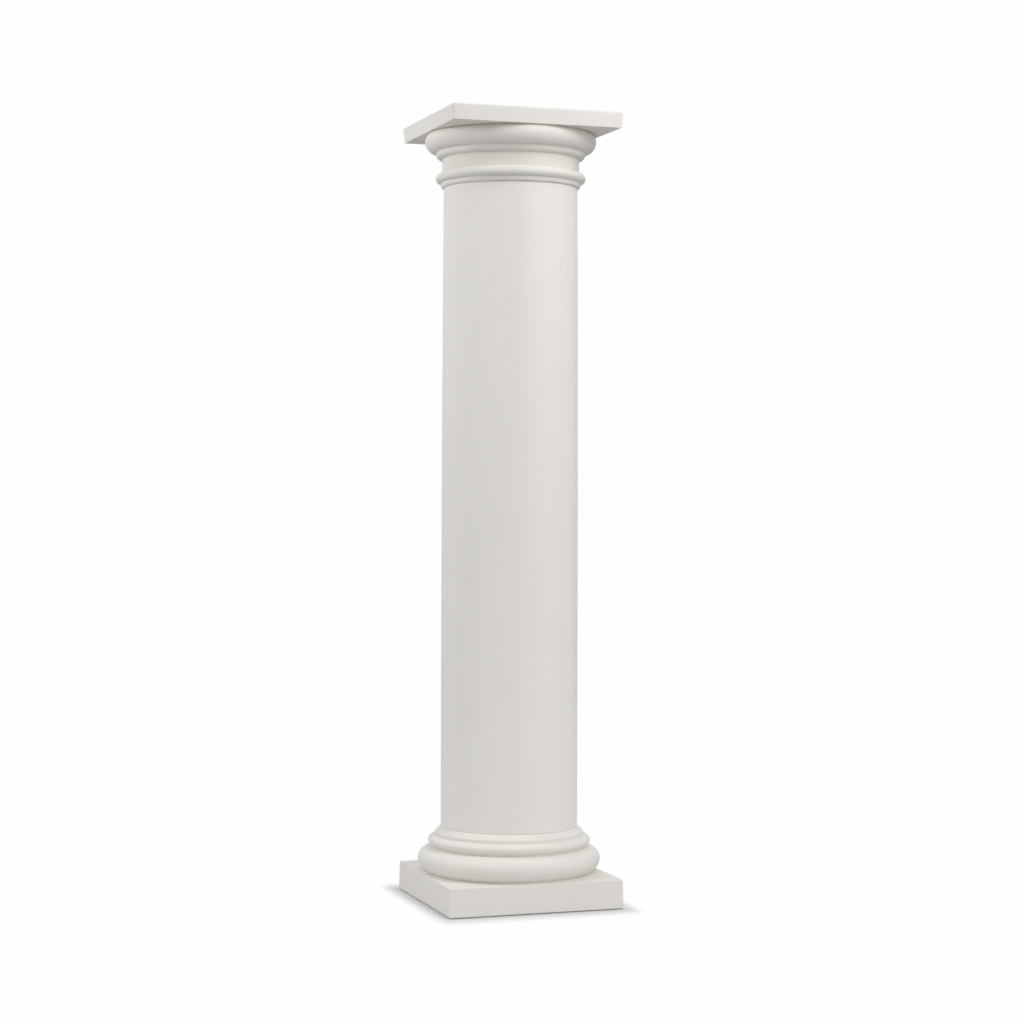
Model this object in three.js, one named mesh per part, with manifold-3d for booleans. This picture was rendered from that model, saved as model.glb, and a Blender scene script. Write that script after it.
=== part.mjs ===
// Doric column of three cast stones: a moulded base on a square plinth, a plain round shaft with
// a slight swell, and a capital under a square abacus. Millimetres, +Z up, with the origin in the
// middle of the plinth's underside.
import * as THREE from "three";
import { mergeVertices } from "three/addons/utils/BufferGeometryUtils.js";
import Module from "manifold-3d";

const wasm = await Module();
wasm.setup();

// Shaft
const shaftFootDiameter = 427.5;
const shaftNeckDiameter = 417.5;
const shaftHeight = 1991; // between its two bed joints
const entasisPower = 3; // the taper gathers towards the neck as this power of the height
const bedGap = 0.3; // each bed joint

// A projection is how far a face, or the widest line of a round, stands out from the shaft's face:
// from its foot for all of the base, and from its neck for all of the capital.

// Plinth: a square slab whose sides lean in a little as they rise
const plinthProjection = 65.5; // at its foot
const plinthLean = 2.25; // of each side, from foot to top
const plinthHeight = 90;
const plinthArris = 3; // chamfer along every edge

// Large torus: its height is set apart below and above its widest line
const largeTorusProjection = 71.75;
const largeTorusDepth = 45.5; // how far the round stands out from its own centre line
const largeTorusLowerHeight = 43.5;
const largeTorusUpperHeight = 36;

// Small torus
const smallTorusProjection = 40;
const smallTorusDepth = 28;
const smallTorusLowerHeight = 21.5;
const smallTorusUpperHeight = 15.5;

// Upright band above the tori, and the straight splay from it up to the foot of the shaft
const bandProjection = 18;
const bandHeight = 10.5;
const splayHeight = 16.5;

// Fillet under the bead: a quarter round below a short upright face
const filletProjection = 9.75;
const filletRoundHeight = 9.5;
const filletUprightHeight = 6.5;

// Bead
const beadProjection = 25.75;
const beadDepth = 15.5;
const beadHeight = 29;

// Necking
const neckingProjection = 5;
const neckingHeight = 45;

// Annulet: a quarter round below a short upright face
const annuletProjection = 24;
const annuletRoundHeight = 13.5;
const annuletUprightHeight = 7.5;

// Echinus: a full round below its widest line, and a shorter one above it to the abacus
const echinusProjection = 58.75;
const echinusDepth = 32.5;
const echinusLowerHeight = 34.5;
const echinusUpperHeight = 21.5;
const echinusCrownSetback = 10.5; // from its widest line to where it meets the abacus
const echinusCrownSweep = 52; // degrees of the upper round

// Abacus: a square slab whose sides lean out a little as they rise
const abacusProjection = 60; // at its foot
const abacusLean = 3.5; // of each side, from foot to top
const abacusHeight = 48.5;
const abacusArris = 3;

// Facets
const roundSegments = 64;
const arcSteps = 5; // per round of a moulding
const shaftSteps = 8;
const rootDepth = 6; // how far a round stone runs into the slab that it is one casting with

// Points on an ellipse round (centreR, centreZ), with its angle counted upwards from straight out.
function roundArc(centreR, centreZ, depth, height, fromDegrees, toDegrees) {
  const curve = new THREE.EllipseCurve(
    centreR,
    centreZ,
    depth,
    height,
    THREE.MathUtils.degToRad(fromDegrees),
    THREE.MathUtils.degToRad(toDegrees),
  );
  return curve.getPoints(arcSteps);
}

// The angle at which a round of this centre and depth meets an upright face of this radius.
function meetingAngle(centreR, depth, faceRadius) {
  const share = THREE.MathUtils.clamp((faceRadius - centreR) / depth, 0, 1);
  return THREE.MathUtils.radToDeg(Math.acos(share));
}

// The solid that a profile of (radius, height) points makes when it is turned about the Z axis.
function turned(points) {
  const apart = points.filter((p, i) => i === 0 || p.distanceTo(points[i - 1]) > 1e-3);
  return solid(new THREE.LatheGeometry(apart, roundSegments).rotateX(Math.PI / 2));
}

// A square slab with chamfered edges, whose sides lean outwards by this much from foot to top.
function slab(half, lean, height, arris, footZ) {
  const cut = half - arris;
  const outline = new THREE.Shape([
    new THREE.Vector2(half, -cut),
    new THREE.Vector2(half, cut),
    new THREE.Vector2(cut, half),
    new THREE.Vector2(-cut, half),
    new THREE.Vector2(-half, cut),
    new THREE.Vector2(-half, -cut),
    new THREE.Vector2(-cut, -half),
    new THREE.Vector2(cut, -half),
  ]);
  const geometry = new THREE.ExtrudeGeometry(outline, {
    depth: height - 2 * arris,
    bevelThickness: arris,
    bevelSize: arris,
    bevelOffset: -arris,
    bevelSegments: 1,
  }).translate(0, 0, arris);
  const place = geometry.getAttribute("position");
  for (let i = 0; i < place.count; i += 1) {
    const grow = 1 + (lean / half) * (place.getZ(i) / height);
    place.setXY(i, place.getX(i) * grow, place.getY(i) * grow);
  }
  return solid(geometry.translate(0, 0, footZ));
}

// A closed geometry as a solid that can be joined to another.
function solid(geometry) {
  const bare = geometry.clone();
  bare.deleteAttribute("normal");
  bare.deleteAttribute("uv");
  const merged = mergeVertices(bare, 1e-3);
  return new wasm.Manifold(
    new wasm.Mesh({
      numProp: 3,
      vertProperties: merged.getAttribute("position").array,
      triVerts: new Uint32Array(merged.index.array),
    }),
  );
}

// A solid as a named stone.
function stone(name, body, material) {
  const mesh = body.getMesh();
  const geometry = new THREE.BufferGeometry();
  geometry.setAttribute("position", new THREE.BufferAttribute(mesh.vertProperties, 3));
  geometry.setIndex(new THREE.BufferAttribute(mesh.triVerts, 1));
  geometry.computeVertexNormals();
  const made = new THREE.Mesh(geometry, material);
  made.name = name;
  return made;
}

// Radius, or half width, of what projects this far in the base.
function baseReach(projection) {
  return shaftFootDiameter / 2 + projection;
}

// Large torus on the plinth, its points from the foot up.
function largeTorus(footZ) {
  const centreR = baseReach(largeTorusProjection) - largeTorusDepth;
  const widestZ = footZ + largeTorusLowerHeight;
  return [
    ...roundArc(centreR, widestZ, largeTorusDepth, largeTorusLowerHeight, -90, 0),
    ...roundArc(centreR, widestZ, largeTorusDepth, largeTorusUpperHeight, 0, 90),
  ];
}

// Small torus, which ends above where the band rises out of it.
function smallTorus(footZ) {
  const centreR = baseReach(smallTorusProjection) - smallTorusDepth;
  const widestZ = footZ + smallTorusLowerHeight;
  const end = meetingAngle(centreR, smallTorusDepth, baseReach(bandProjection));
  return [
    ...roundArc(centreR, widestZ, smallTorusDepth, smallTorusLowerHeight, -90, 0),
    ...roundArc(centreR, widestZ, smallTorusDepth, smallTorusUpperHeight, 0, end),
  ];
}

const smallTorusFootZ = plinthHeight + largeTorusLowerHeight + largeTorusUpperHeight;
const bandFootZ = smallTorusFootZ + smallTorusLowerHeight + smallTorusUpperHeight;
const baseTopZ = bandFootZ + bandHeight + splayHeight;

// Base: plinth, two tori, band and splay, cast in one.
function base() {
  const rootZ = plinthHeight - rootDepth;
  const mouldings = turned([
    new THREE.Vector2(0, rootZ),
    new THREE.Vector2(baseReach(largeTorusProjection) - largeTorusDepth, rootZ),
    ...largeTorus(plinthHeight),
    ...smallTorus(smallTorusFootZ),
    new THREE.Vector2(baseReach(bandProjection), bandFootZ + bandHeight),
    new THREE.Vector2(baseReach(0), baseTopZ),
    new THREE.Vector2(0, baseTopZ),
  ]);
  const half = baseReach(plinthProjection);
  return mouldings.add(slab(half, -plinthLean, plinthHeight, plinthArris, 0));
}

const shaftFootZ = baseTopZ + bedGap;
const shaftTopZ = baseTopZ + shaftHeight - bedGap;

// Radius of the shaft at a share of its height.
function shaftRadius(share) {
  const taper = (shaftFootDiameter - shaftNeckDiameter) / 2;
  return shaftFootDiameter / 2 - taper * share ** entasisPower;
}

// Shaft: a plain round stone with flat beds.
function shaft() {
  const side = Array.from({ length: shaftSteps + 1 }, (_, i) => {
    const share = i / shaftSteps;
    return new THREE.Vector2(shaftRadius(share), THREE.MathUtils.lerp(shaftFootZ, shaftTopZ, share));
  });
  return turned([new THREE.Vector2(0, shaftFootZ), ...side, new THREE.Vector2(0, shaftTopZ)]);
}

const capitalFootZ = baseTopZ + shaftHeight;
const beadFootZ = capitalFootZ + filletRoundHeight + filletUprightHeight;
const neckingFootZ = beadFootZ + beadHeight;
const annuletFootZ = neckingFootZ + neckingHeight;
const echinusFootZ = annuletFootZ + annuletRoundHeight + annuletUprightHeight;
const abacusFootZ = echinusFootZ + echinusLowerHeight + echinusUpperHeight;

// Radius, or half width, of what projects this far in the capital.
function capitalReach(projection) {
  return shaftNeckDiameter / 2 + projection;
}

// A quarter round that swells out from one radius to another, under a short upright face.
function quarterRoundFillet(innerRadius, outerRadius, footZ, roundHeight, uprightHeight) {
  const uprightZ = footZ + roundHeight;
  return [
    ...roundArc(innerRadius, uprightZ, outerRadius - innerRadius, roundHeight, -90, 0),
    new THREE.Vector2(outerRadius, uprightZ + uprightHeight),
  ];
}

// Bead: a half round from foot to top.
function bead(footZ) {
  const centreR = capitalReach(beadProjection) - beadDepth;
  const half = beadHeight / 2;
  return [
    ...roundArc(centreR, footZ + half, beadDepth, half, -90, 0),
    ...roundArc(centreR, footZ + half, beadDepth, half, 0, 90),
  ];
}

// Echinus: a quarter of an ellipse up to its widest line, and a part of another up to its crown.
function echinus(footZ) {
  const widest = capitalReach(echinusProjection);
  const widestZ = footZ + echinusLowerHeight;
  const sweep = THREE.MathUtils.degToRad(echinusCrownSweep);
  const crownDepth = echinusCrownSetback / (1 - Math.cos(sweep));
  const crownHeight = echinusUpperHeight / Math.sin(sweep);
  return [
    ...roundArc(widest - echinusDepth, widestZ, echinusDepth, echinusLowerHeight, -90, 0),
    ...roundArc(widest - crownDepth, widestZ, crownDepth, crownHeight, 0, echinusCrownSweep),
  ];
}

// Capital: fillet, bead, necking, annulet, echinus and abacus, cast in one.
function capital() {
  const neckingRadius = capitalReach(neckingProjection);
  const rootZ = abacusFootZ + rootDepth;
  const mouldings = turned([
    new THREE.Vector2(0, capitalFootZ),
    ...quarterRoundFillet(
      capitalReach(0),
      capitalReach(filletProjection),
      capitalFootZ,
      filletRoundHeight,
      filletUprightHeight,
    ),
    ...bead(beadFootZ),
    new THREE.Vector2(neckingRadius, neckingFootZ),
    ...quarterRoundFillet(
      neckingRadius,
      capitalReach(annuletProjection),
      annuletFootZ,
      annuletRoundHeight,
      annuletUprightHeight,
    ),
    ...echinus(echinusFootZ),
    new THREE.Vector2(capitalReach(echinusProjection) - echinusCrownSetback, rootZ),
    new THREE.Vector2(0, rootZ),
  ]);
  const half = capitalReach(abacusProjection);
  return mouldings.add(slab(half, abacusLean, abacusHeight, abacusArris, abacusFootZ));
}

// Smooth matt cast stone, a warm off-white.
function castStone() {
  return new THREE.MeshStandardMaterial({ color: 0xdcd9d2, roughness: 0.7, metalness: 0 });
}

const column = new THREE.Group();
column.add(stone("base", base(), castStone()));
column.add(stone("shaft", shaft(), castStone()));
column.add(stone("capital", capital(), castStone()));

export default column;
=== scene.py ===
"""Finished surfaces and studio of a Doric column made of three cast stones.

Metres, +Z up, with the origin in the middle of the plinth's underside. Each stone is one closed grid: its
half section runs from its foot on the axis to its top on the axis, and is carried round a round or a square
plan.
"""

import logging
import math
from abc import ABC, abstractmethod
from dataclasses import dataclass, field
from enum import Enum

import bpy
import numpy as np
from mathutils import Matrix, Vector


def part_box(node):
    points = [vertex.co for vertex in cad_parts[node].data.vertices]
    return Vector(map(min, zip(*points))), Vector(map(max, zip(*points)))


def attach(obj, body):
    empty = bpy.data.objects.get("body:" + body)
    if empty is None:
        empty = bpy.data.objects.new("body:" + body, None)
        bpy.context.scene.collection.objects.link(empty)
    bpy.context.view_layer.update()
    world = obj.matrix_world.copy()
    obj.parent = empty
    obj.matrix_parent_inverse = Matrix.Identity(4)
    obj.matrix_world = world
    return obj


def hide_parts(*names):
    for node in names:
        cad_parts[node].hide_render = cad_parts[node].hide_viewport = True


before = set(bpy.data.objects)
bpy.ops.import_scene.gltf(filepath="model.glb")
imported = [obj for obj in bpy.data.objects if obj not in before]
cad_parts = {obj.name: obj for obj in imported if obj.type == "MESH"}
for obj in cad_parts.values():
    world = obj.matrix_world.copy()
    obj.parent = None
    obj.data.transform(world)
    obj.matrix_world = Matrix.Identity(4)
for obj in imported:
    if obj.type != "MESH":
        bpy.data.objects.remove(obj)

log = logging.getLogger("column")

BODY = "root"
PATTERN_SHIFT = 3.7  # sets the pattern of each casting apart from the next one's
NOISE_MEAN = 0.5  # mean of a noise pattern, which runs from 0 to 1
# Painted shade: the base and the capital are a darker copy of the shaft's stone, standing in for less light
# on them.
SHADED_LIGHTNESS = 0.96  # lightness of the base and the capital beside that of the shaft
WHITE = (1.0, 1.0, 1.0, 1.0)

Colour = tuple[float, ...]


class Plan(Enum):
    """Plan of a stone at one height. The value is how square it is."""

    ROUND = 0.0
    SQUARE = 1.0


@dataclass(frozen=True)
class Rings:
    """Rings of a stone from its foot to its top, one value of each array to a ring.

    Attributes:
        reach: Radius of a round ring, or half the width of a square one.
        height: Height above the underside.
        square: How square the ring is, from 0 to 1.
        arris: 1 on an outer edge, down to 0 away from it.
        hollow: 1 in a crease, down to 0 away from it.
    """

    reach: np.ndarray
    height: np.ndarray
    square: np.ndarray
    arris: np.ndarray
    hollow: np.ndarray


@dataclass
class Section:
    """Half section of a stone, drawn from its foot on the axis to its top on the axis.

    A point is (reach, height, squareness). The drawn section is sharp, and rings() softens its corners.

    Attributes:
        softness: Standard deviation of the blur that softens every arris and crease.
        margin: Share of a level face, beside each of its edges, that keeps the plan of that edge.
        swell_points: Points drawn along a round.
        grain: Spacing of the fine points that are blurred.
        blur_reach: Where a blur is cut off, in standard deviations.
        longest_step: Longest distance between two rings.
        most_turn: Most degrees that the section turns between two rings.
        guard: How far from a corner the rings stay close together.
        guard_share: How strongly they do so, beside how closely they stand in the corner itself.
        arris_spread: How far the mark of an arris spreads along the section.
        arris_turn: Turn per metre, so blurred, at which that mark is full.
        hollow_spread: How far the mark of a crease spreads.
        hollow_turn: Turn per metre, so blurred, at which that mark is full.
        drawn: Points drawn so far.
    """

    softness: float
    margin: float = 0.3
    swell_points: int = 97
    grain: float = 0.00025
    blur_reach: float = 4.0
    longest_step: float = 0.03
    most_turn: float = 7.0
    guard: float = 0.002
    guard_share: float = 0.35
    arris_spread: float = 0.0012
    arris_turn: float = 450.0
    hollow_spread: float = 0.004
    hollow_turn: float = 110.0
    drawn: list[np.ndarray] = field(default_factory=list)

    def point(self, reach: float, height: float, plan: Plan) -> None:
        """Draws a straight line to a point."""
        self.drawn.append(np.array([[reach, height, plan.value]]))

    def line(self, reach: np.ndarray, height: np.ndarray) -> None:
        """Draws a line through round rings of these radii at these heights."""
        self.drawn.append(np.stack([reach, height, np.full_like(reach, Plan.ROUND.value)], axis=1))

    def shoulder(self, inner: float, outer: float, height: float, outwards: bool) -> None:
        """Draws a level face that changes between a round inner edge and a square outer one.

        The plan changes between the face's two margins, so both edges keep a true plan beside them.

        Args:
            inner: Radius of the round edge.
            outer: Half width of the square edge.
            height: Height of the face.
            outwards: Whether the face is drawn from its inner edge to its outer one.
        """
        share = np.array([0.0, self.margin, 1.0 - self.margin, 1.0])
        square = np.array([0.0, 0.0, 1.0, 1.0])
        face = np.stack([inner + (outer - inner) * share, np.full_like(share, height), square], axis=1)
        self.drawn.append(face if outwards else face[::-1])

    def swell(self, middle: tuple[float, float], depth: float, rise: float, start: float, end: float) -> None:
        """Draws a part of an ellipse: (reach, height) = middle + (depth cos a, rise sin a).

        Args:
            middle: Reach and height of the ellipse's middle.
            depth: Half its extent outwards.
            rise: Half its extent upwards.
            start: First angle in degrees, counted upwards from straight out.
            end: Last angle in degrees.
        """
        angle = np.radians(np.linspace(start, end, self.swell_points))
        self.line(middle[0] + depth * np.cos(angle), middle[1] + rise * np.sin(angle))

    def _blurred(self, values: np.ndarray, deviation: float) -> np.ndarray:
        """Blurs values along the section with a Gaussian, its ends carried on in a straight line.

        Args:
            values: One value to each fine point.
            deviation: Standard deviation, in metres.

        Returns:
            The blurred values.
        """
        pad = int(self.blur_reach * deviation / self.grain) + 1
        spread = np.exp(-0.5 * (np.arange(-pad, pad + 1) * self.grain / deviation) ** 2)
        ahead = np.arange(1, pad + 1)
        first = values[0] + (values[0] - values[1]) * ahead[::-1]
        last = values[-1] + (values[-1] - values[-2]) * ahead
        return np.convolve(np.concatenate([first, values, last]), spread / spread.sum(), mode="valid")

    def rings(self) -> Rings:
        """Softens the drawn section and spreads rings along it.

        The turn at a fine point is the change of the section's direction there, and the crowding is that turn
        and a share of the turn near by. Rings lie where the running sum of 1 / longest step + crowding / most
        turn passes a whole number. An outer edge or a crease is where the turn to the left or to the right,
        blurred over a few millimetres, is large.

        Returns:
            The rings between the two points on the axis.
        """
        drawn = np.concatenate(self.drawn)
        length = np.concatenate([[0.0], np.cumsum(np.hypot(*np.diff(drawn[:, :2], axis=0).T))])
        fine = np.linspace(0.0, length[-1], int(length[-1] / self.grain) + 1)
        reach, height, square = (np.interp(fine, length, column) for column in drawn.T)
        reach = self._blurred(reach, self.softness)
        height = self._blurred(height, self.softness)
        heading = np.unwrap(np.arctan2(np.gradient(height), np.gradient(reach)))
        turn = np.gradient(heading) / self.grain
        near = self._blurred(np.abs(turn), self.guard)
        crowding = np.abs(turn) + self.guard_share * near
        density = 1.0 / self.longest_step + np.degrees(crowding) / self.most_turn
        count = np.concatenate([[0.0], np.cumsum((density[1:] + density[:-1]) * self.grain / 2)])
        place = np.interp(np.linspace(0.0, count[-1], int(count[-1]) + 2), count, fine)[1:-1]
        outward = self._blurred(np.maximum(turn, 0.0), self.arris_spread) / self.arris_turn
        inward = self._blurred(np.maximum(-turn, 0.0), self.hollow_spread) / self.hollow_turn
        arris = np.clip(outward, 0.0, 1.0)
        hollow = np.clip(inward, 0.0, 1.0)
        return Rings(*(np.interp(place, fine, column) for column in (reach, height, square, arris, hollow)))


@dataclass(frozen=True)
class PlanLines:
    """Points round a unit plan, the same in number and direction on the circle and on the square.

    Attributes:
        side_steps: Steps along one side of the square.
        corner_steps: Steps round one corner.
        corner: Radius of the square's corners, as a share of half its width.
        guard: Width of the narrow step beside each corner, as a share of half the width.
    """

    side_steps: int = 44
    corner_steps: int = 8
    corner: float = 0.011
    guard: float = 0.005

    def square(self) -> tuple[np.ndarray, np.ndarray]:
        """Works out the square's points, anticlockwise seen from above.

        One side is x = 1 with y = tan(a) for even steps of the angle a, and its corner is an arc. A quarter
        is the end of one corner, a side and the next corner. The other three are the same points turned by
        90, 180 and 270 degrees.

        Returns:
            The points as rows of x and y, and for each point 1 on a corner and 0 elsewhere.
        """
        flat = 1.0 - self.corner
        open_angle = math.atan(flat - self.guard)
        along = np.tan(np.linspace(-open_angle, open_angle, self.side_steps + 1))
        sweep = np.linspace(0.0, math.pi / 2, self.corner_steps + 1)[:-1]
        side = 1.0 + 1j * along
        arc = flat + 1j * flat + self.corner * np.exp(1j * sweep)
        start = 1.0 - 1j * flat
        quarter = np.concatenate([[start], side, arc])
        on_corner = np.concatenate([[1.0], np.zeros(len(side)), np.ones(len(arc))])
        turns = np.exp(0.5j * math.pi * np.arange(4))
        whole = (turns[:, None] * quarter[None, :]).ravel()
        return np.stack([whole.real, whole.imag], axis=1), np.tile(on_corner, 4)

    @staticmethod
    def circle(square: np.ndarray) -> np.ndarray:
        """Moves the square's points straight in to the unit circle."""
        return square / np.linalg.norm(square, axis=1, keepdims=True)


class Socket:
    """An output of a node, such as a number that varies over a surface. Its operators add Math nodes."""

    def __init__(self, board: "Board", link: bpy.types.NodeSocket) -> None:
        """Wraps an output socket of a node on a board."""
        self.board = board
        self.link = link

    def _maths(self, operation: str, first: "Socket | float", second: "Socket | float") -> "Socket":
        """Adds one Math node and returns its result."""
        return self.board.add("ShaderNodeMath", {"operation": operation}, {0: first, 1: second}).out("Value")

    def __add__(self, other: "Socket | float") -> "Socket":
        """self + other."""
        return self._maths("ADD", self, other)

    def __radd__(self, other: float) -> "Socket":
        """other + self."""
        return self._maths("ADD", other, self)

    def __sub__(self, other: "Socket | float") -> "Socket":
        """self - other."""
        return self._maths("SUBTRACT", self, other)

    def __rsub__(self, other: float) -> "Socket":
        """other - self."""
        return self._maths("SUBTRACT", other, self)

    def __mul__(self, other: "Socket | float") -> "Socket":
        """self * other."""
        return self._maths("MULTIPLY", self, other)

    def __rmul__(self, other: float) -> "Socket":
        """other * self."""
        return self._maths("MULTIPLY", other, self)


class Placed:
    """A node on a board."""

    def __init__(self, board: "Board", node: bpy.types.Node) -> None:
        """Wraps a node that a board made."""
        self.board = board
        self.node = node

    def out(self, name: str | int) -> Socket:
        """Returns one of the node's outputs, by its name or its number."""
        return Socket(self.board, self.node.outputs[name])


class Board:
    """The nodes of one material or world."""

    def __init__(self, tree: bpy.types.NodeTree) -> None:
        """Clears a node tree and takes it over."""
        tree.nodes.clear()
        self.tree = tree

    def add(self, kind: str, settings: dict[str, object], values: dict[str | int, object]) -> Placed:
        """Adds a node of any type.

        Args:
            kind: The node's type.
            settings: The node's own settings, set before its sockets.
            values: What each input socket gets, a Socket or a constant, by the input's name or number.

        Returns:
            The node.
        """
        node = self.tree.nodes.new(kind)
        for name, value in settings.items():
            setattr(node, name, value)
        for name, value in values.items():
            if isinstance(value, Socket):
                self.tree.links.new(value.link, node.inputs[name])
            else:
                node.inputs[name].default_value = value
        return Placed(self, node)


@dataclass(frozen=True)
class CastStone:
    """Smooth, matt, warm off-white cast stone.

    Attributes:
        shade_lightness: Lightness by which a stone's colours are multiplied; below 1 it is painted shade, a
            darker copy of the stone.
        tone: Colour of the clean stone, linear.
        dust_and_shade_colour: Colour in the creases, linear: dirt together with painted shade where shade
            falls in them.
        worn_highlight_colour: Colour of the outer edges, linear: lighter, for worn edges together with a
            painted highlight on them.
        contrast: How much lighter or darker than its tone a patch gets, as a share of it.
        cloud_share: How much of that comes from the clouds, and not from the mottling.
        dust_and_shade_share: How far a crease takes that colour of dirt and painted shade.
        worn_highlight_share: How far an outer edge takes that lighter colour of worn edge and painted
            highlight.
        roughness: Middle roughness.
        roughness_spread: How much it varies with the mottling.
        dust_roughness: How much is added to it in a crease.
        wear_roughness: How much is added to it on an outer edge.
        sheen: Level of its mirror reflection.
        cloud_size: Size of the faint clouds in the colour.
        cloud_layers: Finer layers in those clouds.
        mottle_size: Size of the finer mottling.
        mottle_layers: Finer layers in the mottling.
        layer_strength: Strength of each finer layer beside the one before it.
        relief_layers: Finer layers in the sand grains and in the unevenness.
        sand_size: Size of the sand grains in the relief.
        wave_size: Size of the hand-finished unevenness.
        sand_height: Height of the sand grains.
        wave_height: Height of the unevenness.
    """

    shade_lightness: float = 1.0
    tone: Colour = (0.850, 0.825, 0.782)
    dust_and_shade_colour: Colour = (0.790, 0.759, 0.708)
    worn_highlight_colour: Colour = (0.880, 0.856, 0.816)
    contrast: float = 0.035
    cloud_share: float = 0.6
    dust_and_shade_share: float = 0.3
    worn_highlight_share: float = 0.6
    roughness: float = 0.62
    roughness_spread: float = 0.1
    dust_roughness: float = 0.08
    wear_roughness: float = -0.06
    sheen: float = 0.35
    cloud_size: float = 0.16
    cloud_layers: float = 3.0
    mottle_size: float = 0.014
    mottle_layers: float = 4.0
    layer_strength: float = 0.55
    relief_layers: float = 1.0
    sand_size: float = 0.0011
    wave_size: float = 0.09
    sand_height: float = 0.00004
    wave_height: float = 0.00035

    def _noise(self, board: Board, place: Socket, size: float, layers: float) -> Socket:
        """Adds a noise pattern with blotches of a size.

        Args:
            board: Where the node goes.
            place: Coordinates in metres.
            size: Rough size of a blotch.
            layers: How many finer layers it has.

        Returns:
            The pattern, from 0 to 1.
        """
        values = {"Vector": place, "Scale": 1.0 / size, "Detail": layers, "Roughness": self.layer_strength}
        return board.add("ShaderNodeTexNoise", {"noise_dimensions": "3D"}, values).out(0)

    def _paint(self, colour: Colour, share: float = 1.0) -> Colour:
        """Returns a colour times a share and the stone's painted-shade lightness, and opaque."""
        return (*(self.shade_lightness * share * part for part in colour), 1.0)

    def _blend(self, board: Board, share: Socket, first: Socket | Colour, second: Colour) -> Socket:
        """Adds a node that mixes two colours. Its sockets go by number, because their names repeat."""
        settings = {"data_type": "RGBA", "clamp_factor": True}
        return board.add("ShaderNodeMix", settings, {0: share, 6: first, 7: second}).out(2)

    def material(self, name: str, seat: tuple[float, float, float]) -> bpy.types.Material:
        """Makes the finish of one stone.

        Args:
            name: The material's name.
            seat: Where the pattern starts, different for each casting.

        Returns:
            The material.
        """
        made = bpy.data.materials.new(name)
        made.use_nodes = True
        board = Board(made.node_tree)
        place = board.add("ShaderNodeTexCoord", {}, {}).out("Object")
        place = board.add("ShaderNodeMapping", {}, {"Vector": place, "Location": seat}).out("Vector")
        arris = board.add("ShaderNodeAttribute", {"attribute_name": "arris"}, {}).out("Fac")
        hollow = board.add("ShaderNodeAttribute", {"attribute_name": "hollow"}, {}).out("Fac")
        cloud = self._noise(board, place, self.cloud_size, self.cloud_layers)
        mottle = self._noise(board, place, self.mottle_size, self.mottle_layers)
        sand = self._noise(board, place, self.sand_size, self.relief_layers)
        wave = self._noise(board, place, self.wave_size, self.relief_layers)

        patch = cloud * self.cloud_share + mottle * (1.0 - self.cloud_share)
        uneven = mottle + (1.0 - NOISE_MEAN)
        # Painted shade: creases are darkened towards a dirty colour, as dirt and as the shade that falls in
        # them.
        dust_and_shade = hollow * uneven * self.dust_and_shade_share
        # Painted highlight: outer edges are lightened, as worn edges and as the light that catches them.
        worn_highlight = arris * uneven * self.worn_highlight_share
        dark = self._paint(self.tone, 1.0 - self.contrast)
        light = self._paint(self.tone, 1.0 + self.contrast)
        colour = self._blend(board, patch, dark, light)
        colour = self._blend(board, dust_and_shade, colour, self._paint(self.dust_and_shade_colour))
        colour = self._blend(board, worn_highlight, colour, self._paint(self.worn_highlight_colour))

        rough = (mottle - NOISE_MEAN) * self.roughness_spread + self.roughness
        rough = hollow * self.dust_roughness + arris * self.wear_roughness + rough
        height = wave * self.wave_height + sand * self.sand_height
        relief = board.add("ShaderNodeBump", {}, {"Strength": 1.0, "Distance": 1.0, "Height": height})
        shader = board.add(
            "ShaderNodeBsdfPrincipled",
            {},
            {
                "Base Color": colour,
                "Roughness": rough,
                "Specular IOR Level": self.sheen,
                "Normal": relief.out("Normal"),
            },
        )
        board.add("ShaderNodeOutputMaterial", {}, {"Surface": shader.out("BSDF")})
        return made


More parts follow.
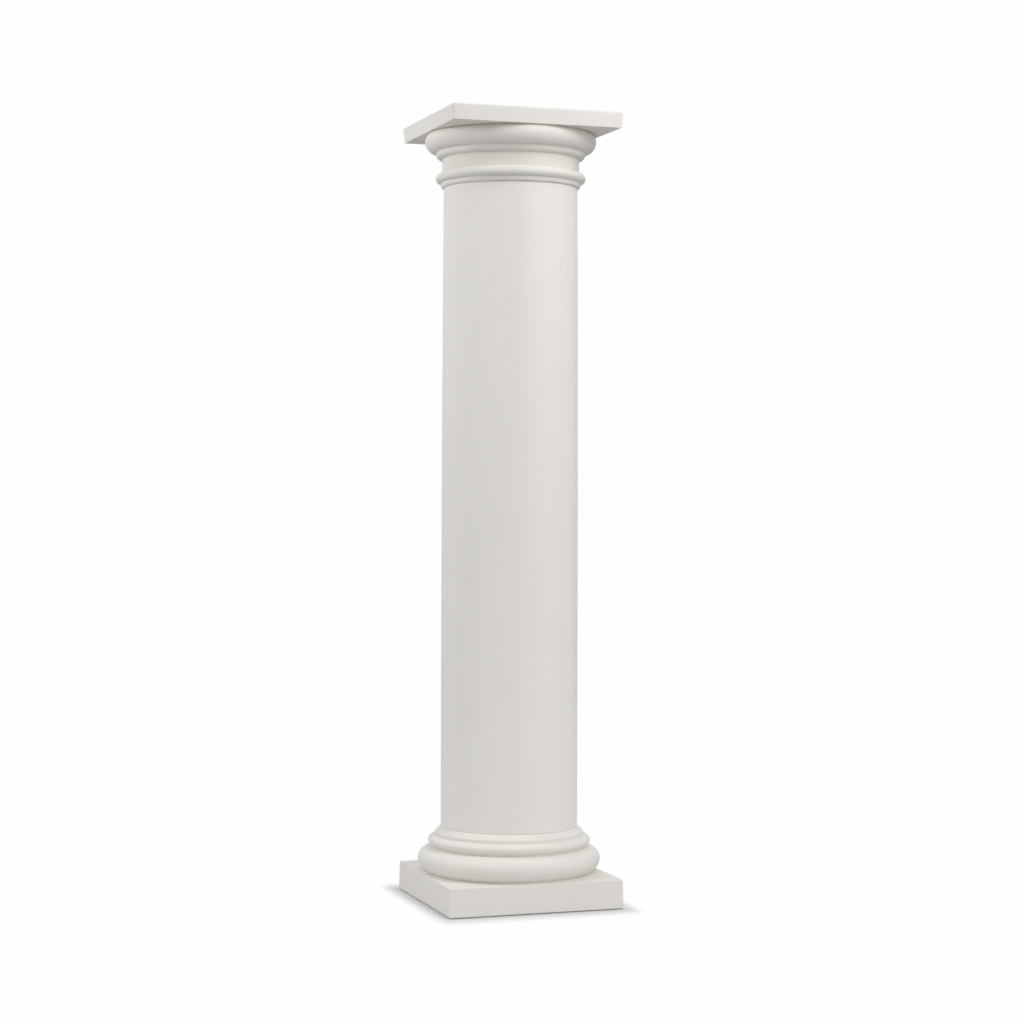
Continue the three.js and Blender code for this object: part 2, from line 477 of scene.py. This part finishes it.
@dataclass
class Stone(ABC):
    """One casting, built as a closed grid that stands for its node of the frame.

    Attributes:
        finish: Its finish.
        softness: How far its arrises and creases are softened.
        lines: The points round its plan.
    """

    finish: CastStone
    softness: float = 0.0009
    lines: PlanLines = PlanLines()

    @property
    @abstractmethod
    def node(self) -> str:
        """Name of the node that the stone stands for."""

    @abstractmethod
    def section(self) -> Section:
        """Draws the stone's half section."""

    def _mesh(self, rings: Rings) -> bpy.types.Mesh:
        """Carries the rings round the plan.

        A point is reach * ((1 - s) circle + s square) at its ring's height, where s is the ring's squareness.
        Quads join each ring to the next, and fans close the foot and the top.

        Args:
            rings: The stone's rings from foot to top.

        Returns:
            A closed mesh with the point attributes arris and hollow.
        """
        square, corner = self.lines.square()
        circle = self.lines.circle(square)
        share = rings.square[:, None, None]
        plan = (1.0 - share) * circle[None] + share * square[None]
        grid = np.empty((len(rings.reach), len(square), 3))
        grid[:, :, :2] = rings.reach[:, None, None] * plan
        grid[:, :, 2] = rings.height[:, None]
        poles = np.array([[0.0, 0.0, rings.height[0]], [0.0, 0.0, rings.height[-1]]])
        points = np.concatenate([grid.reshape(-1, 3), poles])

        index = np.arange(grid.shape[0] * grid.shape[1]).reshape(grid.shape[:2])
        ahead = np.roll(index, -1, axis=1)
        quads = np.stack([index[:-1], ahead[:-1], ahead[1:], index[1:]], axis=-1).reshape(-1, 4)
        foot = np.stack([np.full_like(index[0], len(points) - 2), ahead[0], index[0]], axis=-1)
        top = np.stack([np.full_like(index[-1], len(points) - 1), index[-1], ahead[-1]], axis=-1)
        corners = np.concatenate([quads.ravel(), foot.ravel(), top.ravel()])
        sides = np.concatenate([np.full(len(quads), 4), np.full(len(foot) + len(top), 3)])

        mesh = bpy.data.meshes.new(f"{self.node}_stone")
        mesh.vertices.add(len(points))
        mesh.vertices.foreach_set("co", points.ravel())
        mesh.loops.add(len(corners))
        mesh.loops.foreach_set("vertex_index", corners)
        mesh.polygons.add(len(sides))
        mesh.polygons.foreach_set("loop_start", np.concatenate([[0], np.cumsum(sides)[:-1]]))
        mesh.update(calc_edges=True)
        mesh.validate()
        mesh.shade_smooth()

        edge = np.maximum(rings.arris[:, None], rings.square[:, None] * corner[None, :])
        crease = np.broadcast_to(rings.hollow[:, None], index.shape)
        for name, values in (("arris", edge), ("hollow", crease)):
            layer = mesh.attributes.new(name, "FLOAT", "POINT")
            layer.data.foreach_set("value", np.concatenate([values.ravel(), np.zeros(len(poles))]))
        return mesh

    def build(self) -> bpy.types.Object:
        """Builds, dresses and places the stone.

        Returns:
            The stone's object, which stands for its node.
        """
        mesh = self._mesh(self.section().rings())
        piece = bpy.data.objects.new(f"{self.node}_stone", mesh)
        bpy.context.scene.collection.objects.link(piece)
        seat = tuple(Vector(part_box(self.node)[0]) * PATTERN_SHIFT)
        mesh.materials.append(self.finish.material(f"cast_stone_{self.node}", seat))
        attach(piece, BODY)
        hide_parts(self.node)
        log.info("%s: %d faces", piece.name, len(mesh.polygons))
        return piece


@dataclass
class Base(Stone):
    """Plinth, two tori, band and splay. Projections are taken from the shaft's foot.

    Each torus stands on a short upright face, which meets its round at the seat angle under its widest part.
    Under the large torus, a small sloping cove leads from that face to the top of the plinth.
    """

    shaft_radius: float = 0.21375
    plinth_projection: float = 0.0655
    plinth_lean: float = 0.00225
    plinth_height: float = 0.090
    plinth_foot_height: float = 0.004
    plinth_foot_depth: float = 0.009
    large_torus_projection: float = 0.07175
    large_torus_depth: float = 0.0455
    large_torus_lower_height: float = 0.0435
    large_torus_upper_height: float = 0.036
    large_torus_seat_angle: float = 62.0
    cove_height: float = 0.004
    cove_depth: float = 0.010
    small_torus_projection: float = 0.040
    small_torus_depth: float = 0.028
    small_torus_lower_height: float = 0.0215
    small_torus_upper_height: float = 0.0155
    small_torus_seat_angle: float = 52.0
    band_projection: float = 0.018
    band_height: float = 0.0105

    @property
    def node(self) -> str:
        """Name of the node that the stone stands for."""
        return "base"

    def section(self) -> Section:
        """Draws the base from its underside to the bed under the shaft.

        Returns:
            The half section.
        """
        drawn = Section(self.softness)
        foot = self.shaft_radius + self.plinth_projection
        drawn.point(0.0, 0.0, Plan.SQUARE)
        drawn.point(foot - self.plinth_foot_depth, 0.0, Plan.SQUARE)
        drawn.point(foot, self.plinth_foot_height, Plan.SQUARE)

        large_depth = self.large_torus_depth
        large_middle = self.shaft_radius + self.large_torus_projection - large_depth
        large_widest = self.plinth_height + self.large_torus_lower_height
        large_seat = large_middle + large_depth * math.cos(math.radians(self.large_torus_seat_angle))
        cove_foot = large_seat + self.cove_depth
        drawn.shoulder(cove_foot, foot - self.plinth_lean, self.plinth_height, outwards=False)
        drawn.point(large_seat, self.plinth_height + self.cove_height, Plan.ROUND)

        small_depth = self.small_torus_depth
        small_middle = self.shaft_radius + self.small_torus_projection - small_depth
        small_widest = large_widest + self.large_torus_upper_height + self.small_torus_lower_height
        small_seat = small_middle + small_depth * math.cos(math.radians(self.small_torus_seat_angle))
        large_end = math.degrees(math.acos((small_seat - large_middle) / large_depth))
        middle = (large_middle, large_widest)
        drawn.swell(middle, large_depth, self.large_torus_lower_height, -self.large_torus_seat_angle, 0.0)
        drawn.swell(middle, large_depth, self.large_torus_upper_height, 0.0, large_end)

        band = self.shaft_radius + self.band_projection
        band_foot = small_widest + self.small_torus_upper_height
        small_end = math.degrees(math.acos((band - small_middle) / small_depth))
        middle = (small_middle, small_widest)
        drawn.swell(middle, small_depth, self.small_torus_lower_height, -self.small_torus_seat_angle, 0.0)
        drawn.swell(middle, small_depth, self.small_torus_upper_height, 0.0, small_end)

        drawn.point(band, band_foot + self.band_height, Plan.ROUND)
        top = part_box(self.node)[1].z
        drawn.point(self.shaft_radius, top, Plan.ROUND)
        drawn.point(0.0, top, Plan.ROUND)
        return drawn


@dataclass
class Shaft(Stone):
    """Plain round shaft whose taper gathers towards the neck."""

    foot_radius: float = 0.21375
    neck_radius: float = 0.20875
    entasis_power: float = 3.0
    side_points: int = 65

    @property
    def node(self) -> str:
        """Name of the node that the stone stands for."""
        return "shaft"

    def section(self) -> Section:
        """Draws the shaft: radius = foot - (foot - neck) * share of the height ^ power.

        Returns:
            The half section.
        """
        drawn = Section(self.softness)
        low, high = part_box(self.node)
        share = np.linspace(0.0, 1.0, self.side_points)
        radius = self.foot_radius - (self.foot_radius - self.neck_radius) * share**self.entasis_power
        height = low.z + (high.z - low.z) * share
        drawn.point(0.0, low.z, Plan.ROUND)
        drawn.line(radius, height)
        drawn.point(0.0, high.z, Plan.ROUND)
        return drawn


@dataclass
class Capital(Stone):
    """Fillet, bead, necking, annulet, echinus and abacus. Projections are taken from the shaft's neck."""

    neck_radius: float = 0.20875
    fillet_projection: float = 0.00975
    fillet_round_height: float = 0.0095
    fillet_upright_height: float = 0.0065
    bead_projection: float = 0.02575
    bead_depth: float = 0.0155
    bead_height: float = 0.029
    necking_projection: float = 0.005
    necking_height: float = 0.045
    annulet_projection: float = 0.024
    annulet_round_height: float = 0.0135
    annulet_upright_height: float = 0.0075
    echinus_projection: float = 0.05875
    echinus_depth: float = 0.0325
    echinus_lower_height: float = 0.0345
    echinus_upper_height: float = 0.0215
    echinus_crown_setback: float = 0.0105
    echinus_crown_sweep: float = 52.0
    abacus_projection: float = 0.060
    abacus_lean: float = 0.0035
    abacus_arris: float = 0.003

    @property
    def node(self) -> str:
        """Name of the node that the stone stands for."""
        return "capital"

    def _quarter_round(self, drawn: Section, inner: float, outer: float, foot: float, rise: float) -> None:
        """Draws a quarter round that swells from one radius out to another as it rises."""
        drawn.swell((inner, foot + rise), outer - inner, rise, -90.0, 0.0)

    def section(self) -> Section:
        """Draws the capital from the bed over the shaft to the top of the abacus.

        Returns:
            The half section.
        """
        drawn = Section(self.softness)
        foot, top = (corner.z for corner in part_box(self.node))
        fillet = self.neck_radius + self.fillet_projection
        drawn.point(0.0, foot, Plan.ROUND)
        self._quarter_round(drawn, self.neck_radius, fillet, foot, self.fillet_round_height)
        bead_foot = foot + self.fillet_round_height + self.fillet_upright_height
        drawn.point(fillet, bead_foot, Plan.ROUND)

        half = self.bead_height / 2
        middle = (self.neck_radius + self.bead_projection - self.bead_depth, bead_foot + half)
        drawn.swell(middle, self.bead_depth, half, -90.0, 90.0)

        necking = self.neck_radius + self.necking_projection
        annulet_foot = bead_foot + self.bead_height + self.necking_height
        drawn.point(necking, bead_foot + self.bead_height, Plan.ROUND)
        annulet = self.neck_radius + self.annulet_projection
        self._quarter_round(drawn, necking, annulet, annulet_foot, self.annulet_round_height)
        echinus_foot = annulet_foot + self.annulet_round_height + self.annulet_upright_height
        drawn.point(annulet, echinus_foot, Plan.ROUND)

        widest = self.neck_radius + self.echinus_projection
        widest_height = echinus_foot + self.echinus_lower_height
        middle = (widest - self.echinus_depth, widest_height)
        drawn.swell(middle, self.echinus_depth, self.echinus_lower_height, -90.0, 0.0)
        sweep = math.radians(self.echinus_crown_sweep)
        crown_depth = self.echinus_crown_setback / (1.0 - math.cos(sweep))
        crown_rise = self.echinus_upper_height / math.sin(sweep)
        middle = (widest - crown_depth, widest_height)
        drawn.swell(middle, crown_depth, crown_rise, 0.0, self.echinus_crown_sweep)

        abacus_foot = widest_height + self.echinus_upper_height
        half_width = self.neck_radius + self.abacus_projection
        drawn.shoulder(widest - self.echinus_crown_setback, half_width, abacus_foot, outwards=True)
        half_width += self.abacus_lean
        drawn.point(half_width, top - self.abacus_arris, Plan.SQUARE)
        drawn.point(half_width - self.abacus_arris, top, Plan.SQUARE)
        drawn.point(0.0, top, Plan.SQUARE)
        return drawn


@dataclass(frozen=True)
class Lamp:
    """A soft square lamp that faces the column's axis and is itself out of the picture.

    Attributes:
        name: What it is for.
        azimuth: Degrees round the axis, 0 in front and more towards +X.
        distance: From the axis, level.
        height: Height of its middle.
        aim: Height on the axis that it faces.
        size: Width of its panel.
        power: Watts.
    """

    name: str
    azimuth: float
    distance: float
    height: float
    aim: float
    size: float
    power: float

    def build(self) -> bpy.types.Object:
        """Hangs the lamp and turns it to its aim.

        Returns:
            The lamp.
        """
        light = bpy.data.lights.new(self.name, "AREA")
        light.shape = "SQUARE"
        light.size = self.size
        light.energy = self.power
        lamp = bpy.data.objects.new(self.name, light)
        around = math.radians(self.azimuth)
        place = Vector((self.distance * math.sin(around), -self.distance * math.cos(around), self.height))
        lamp.location = place
        lamp.rotation_euler = (Vector((0.0, 0.0, self.aim)) - place).to_track_quat("-Z", "Y").to_euler()
        lamp.visible_camera = False
        bpy.context.scene.collection.objects.link(lamp)
        return lamp


@dataclass(frozen=True)
class Viewpoint:
    """Camera on a tripod in front of the column's near corner.

    Attributes:
        distance: From the column's axis, level.
        azimuth: Degrees round the axis, 0 in front and more towards +X.
        height: Height of the lens.
        pan: Degrees that it looks to the left of the axis.
        pitch: Degrees that it looks up.
        roll: Degrees that it leans anticlockwise, seen from behind.
        lens: Focal length in millimetres.
        sensor: Width of the square picture on the sensor, in millimetres.
        sight: Farthest distance that it sees.
    """

    distance: float = 7.2975
    azimuth: float = -18.4755
    height: float = 1.2993
    pan: float = -0.0565
    pitch: float = -0.6636
    roll: float = 0.1561
    lens: float = 81.863
    sensor: float = 36.0
    sight: float = 200.0

    def build(self) -> bpy.types.Object:
        """Sets up the scene's camera.

        It stands at distance * back, where back = (sin azimuth, -cos azimuth). It looks along -back turned by
        the pan and raised by the pitch. Its right and up directions are turned about that line by the roll.

        Returns:
            The camera.
        """
        data = bpy.data.cameras.new("camera")
        data.sensor_fit = "HORIZONTAL"
        data.sensor_width = self.sensor
        data.lens = self.lens
        data.clip_end = self.sight
        around = math.radians(self.azimuth)
        roll = math.radians(self.roll)
        back = Vector((math.sin(around), -math.cos(around), 0.0))
        look = Matrix.Rotation(math.radians(self.pan), 3, "Z") @ -back
        look = look * math.cos(math.radians(self.pitch))
        look.z = math.sin(math.radians(self.pitch))
        right = look.cross(Vector((0.0, 0.0, 1.0))).normalized()
        up = right.cross(look)
        turned_right = right * math.cos(roll) + up * math.sin(roll)
        turned_up = up * math.cos(roll) - right * math.sin(roll)
        place = back * self.distance + Vector((0.0, 0.0, self.height))
        camera = bpy.data.objects.new("camera", data)
        columns = [turned_right.to_4d(), turned_up.to_4d(), (-look).to_4d(), place.to_4d()]
        matrix = Matrix(columns).transposed()
        matrix[3] = (0.0, 0.0, 0.0, 1.0)
        camera.matrix_world = matrix
        bpy.context.scene.collection.objects.link(camera)
        bpy.context.scene.camera = camera
        return camera


@dataclass
class Studio:
    """White sweep, soft light all round, and a camera.

    The picture's ground is an even white. The floor shows its own light only near the plinth, where the
    column's shadow falls on it.

    Attributes:
        white: Brightness of that ground.
        room_light: Brightness of the room over the horizon, as it lights the column.
        ground_light: Brightness of the room under the horizon.
        horizon_band: How far over and under the horizon, on a unit sphere, the one turns into the other.
        floor_tone: How much light the floor sends back.
        floor_reach: Half the width of the floor.
        shadow_half: Half the width of the square from which the shadow's reach is counted.
        shadow_reach: Distances from it, along X and along Y, at which the floor is the ground's white.
        lamps: The lamps.
        viewpoint: The camera.
    """

    white: float = 0.99
    room_light: float = 0.605
    ground_light: float = 0.05
    horizon_band: float = 0.1
    floor_tone: float = 0.72
    floor_reach: float = 3.0
    shadow_half: float = 0.279
    shadow_reach: tuple[float, float] = (0.065, 0.12)
    lamps: tuple[Lamp, ...] = (
        Lamp("key", azimuth=27.0, distance=2.7, height=3.6, aim=1.9, size=1.0, power=27.0),
        Lamp("middle", azimuth=27.0, distance=3.2, height=2.2, aim=1.4, size=1.0, power=14.5),
        Lamp("high", azimuth=15.0, distance=2.0, height=4.4, aim=1.2, size=1.2, power=13.5),
        Lamp("front", azimuth=-15.0, distance=4.0, height=2.2, aim=1.6, size=1.2, power=4.0),
        Lamp("left", azimuth=-98.0, distance=2.5, height=2.6, aim=1.8, size=0.8, power=26.0),
        Lamp("back", azimuth=160.0, distance=3.0, height=3.4, aim=1.6, size=1.2, power=10.0),
    )
    viewpoint: Viewpoint = Viewpoint()

    def _seen_as_white(self, board: Board, lit: Socket, kind: str, share: Socket | None) -> Socket:
        """Mixes a shader with the white of the ground, for the camera alone.

        Args:
            board: Where the nodes go.
            lit: The shader that lights the scene.
            kind: Type of the node that glows white.
            share: How much of the white the camera sees, or None for all of it.

        Returns:
            The mixed shader.
        """
        seen = board.add("ShaderNodeLightPath", {}, {}).out("Is Camera Ray")
        glow = board.add(kind, {}, {"Color": WHITE, "Strength": self.white}).out(0)
        factor = seen if share is None else seen * share
        return board.add("ShaderNodeMixShader", {}, {0: factor, 1: lit, 2: glow}).out(0)

    def _floor(self) -> bpy.types.Object:
        """Lays the floor, whose share of white rises smoothly over the shadow's reach.

        The share follows the length of max(|place| - half width, 0) / reach, taken on X and Y.

        Returns:
            The floor.
        """
        side = self.floor_reach * np.array([[-1.0, -1.0], [1.0, -1.0], [1.0, 1.0], [-1.0, 1.0]])
        mesh = bpy.data.meshes.new("floor")
        mesh.from_pydata(np.column_stack([side, np.zeros(len(side))]).tolist(), [], [(0, 1, 2, 3)])
        material = bpy.data.materials.new("floor")
        material.use_nodes = True
        board = Board(material.node_tree)
        place = board.add("ShaderNodeTexCoord", {}, {}).out("Object")
        square = (self.shadow_half, self.shadow_half, 0.0)
        vector = "ShaderNodeVectorMath"
        away = board.add(vector, {"operation": "ABSOLUTE"}, {0: place}).out(0)
        away = board.add(vector, {"operation": "SUBTRACT"}, {0: away, 1: square}).out(0)
        away = board.add(vector, {"operation": "MAXIMUM"}, {0: away, 1: (0.0, 0.0, 0.0)}).out(0)
        away = board.add(vector, {"operation": "DIVIDE"}, {0: away, 1: (*self.shadow_reach, 1.0)}).out(0)
        away = board.add(vector, {"operation": "LENGTH"}, {0: away}).out("Value")
        smooth = {"interpolation_type": "SMOOTHSTEP"}
        share = board.add("ShaderNodeMapRange", smooth, {"Value": away}).out("Result")
        tone = (self.floor_tone, self.floor_tone, self.floor_tone, 1.0)
        paper = board.add("ShaderNodeBsdfDiffuse", {}, {"Color": tone}).out(0)
        surface = self._seen_as_white(board, paper, "ShaderNodeEmission", share)
        board.add("ShaderNodeOutputMaterial", {}, {"Surface": surface})
        mesh.materials.append(material)
        floor = bpy.data.objects.new("floor", mesh)
        bpy.context.scene.collection.objects.link(floor)
        return floor

    def _room(self) -> None:
        """Surrounds the scene with light, even over the horizon and weaker under it."""
        world = bpy.data.worlds.new("room")
        world.use_nodes = True
        board = Board(world.node_tree)
        way = board.add("ShaderNodeTexCoord", {}, {}).out("Generated")
        height = board.add("ShaderNodeSeparateXYZ", {}, {"Vector": way}).out("Z")
        limits = {"Value": height, "From Min": -self.horizon_band, "From Max": self.horizon_band}
        over = board.add("ShaderNodeMapRange", {}, limits).out("Result")
        low = board.add("ShaderNodeBackground", {}, {"Color": WHITE, "Strength": self.ground_light}).out(0)
        high = board.add("ShaderNodeBackground", {}, {"Color": WHITE, "Strength": self.room_light}).out(0)
        lit = board.add("ShaderNodeMixShader", {}, {0: over, 1: low, 2: high}).out(0)
        surface = self._seen_as_white(board, lit, "ShaderNodeBackground", None)
        board.add("ShaderNodeOutputWorld", {}, {"Surface": surface})
        bpy.context.scene.world = world

    def build(self) -> None:
        """Builds the floor, the room, the lamps and the camera."""
        self._floor()
        self._room()
        for lamp in self.lamps:
            lamp.build()
        self.viewpoint.build()
        bpy.context.scene.view_settings.view_transform = "Standard"


def main() -> None:
    """Builds the stones and the studio."""
    logging.basicConfig(level=logging.INFO, format="%(name)s: %(message)s")
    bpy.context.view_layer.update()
    # Painted shade: the base and the capital get a darker copy of the stone than the shaft.
    darker = CastStone(shade_lightness=SHADED_LIGHTNESS)
    for stone in (Base(darker), Shaft(CastStone()), Capital(darker)):
        stone.build()
    Studio().build()


if __name__ == "__main__":
    main()
